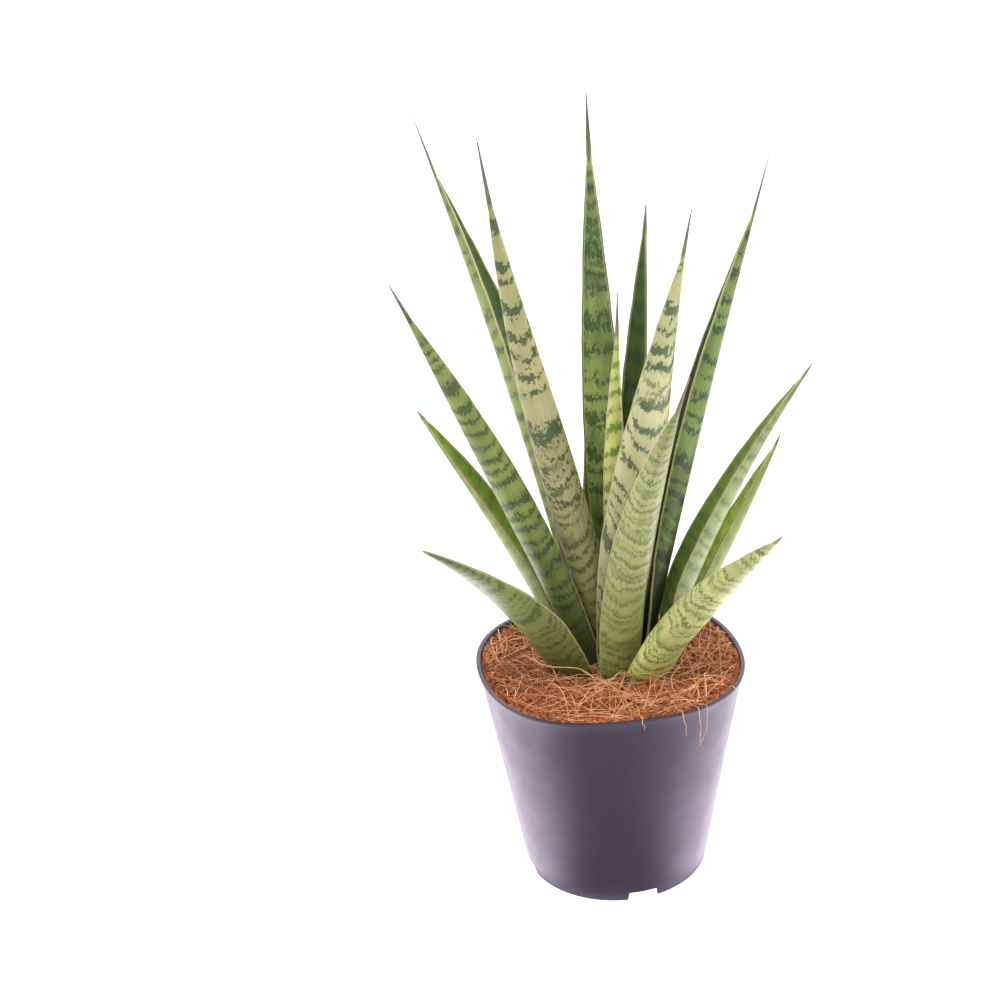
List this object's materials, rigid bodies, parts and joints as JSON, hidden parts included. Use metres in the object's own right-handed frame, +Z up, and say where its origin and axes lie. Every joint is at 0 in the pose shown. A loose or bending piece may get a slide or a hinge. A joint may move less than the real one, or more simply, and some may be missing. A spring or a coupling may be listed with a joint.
{
  "type": "potted pineapple snake plant",
  "caption": "Stiff pointed leaves, channelled lengthwise and cross-banded in green, fanning up from a thin dark nursery pot filled with coir.",
  "frame": {"origin": "middle of the base of the bounding box, on the surface that the pot stands on", "axes": "+Z up, from the pot's foot to the leaf tips; the picture looks along +Y, with +X to its right"},
  "size_m": [0.187, 0.1566, 0.3746],
  "materials": {
    "pot": "satin, dark slate grey, injection-moulded, a little scuffed",
    "coir": "loose orange-brown crumbs with pale curly fibres",
    "rhizome": "matt, pale, fleshy",
    "leaf_young": "waxy satin, yellow-green with faint bands",
    "leaf_pale": "waxy satin, pale grey-green with jagged dark cross-bands",
    "leaf_mid": "waxy satin, mid green with dark cross-bands",
    "leaf_deep": "waxy satin, dark green with blotched cross-bands"
  },
  "bodies": {
    "root": {"pot": "pot", "coir": "coir", "rhizome": "rhizome", "leaf_left_back_tall": "leaf_mid", "leaf_left_front_pale": "leaf_pale", "leaf_left_banded": "leaf_mid", "leaf_left_back_low": "leaf_mid", "leaf_left_front_low": "leaf_mid", "leaf_back_tallest": "leaf_deep", "leaf_centre_young": "leaf_young", "leaf_back_dark": "leaf_deep", "leaf_front_wide": "leaf_pale", "leaf_right_tall": "leaf_mid", "leaf_front_fine_banded": "leaf_pale", "leaf_right_back_arching": "leaf_deep", "leaf_right_back_short": "leaf_mid", "leaf_right_front_low": "leaf_pale", "leaf_back_mid": "leaf_deep", "leaf_back_low_curled": "leaf_deep"}
  },
  "joints": []
}
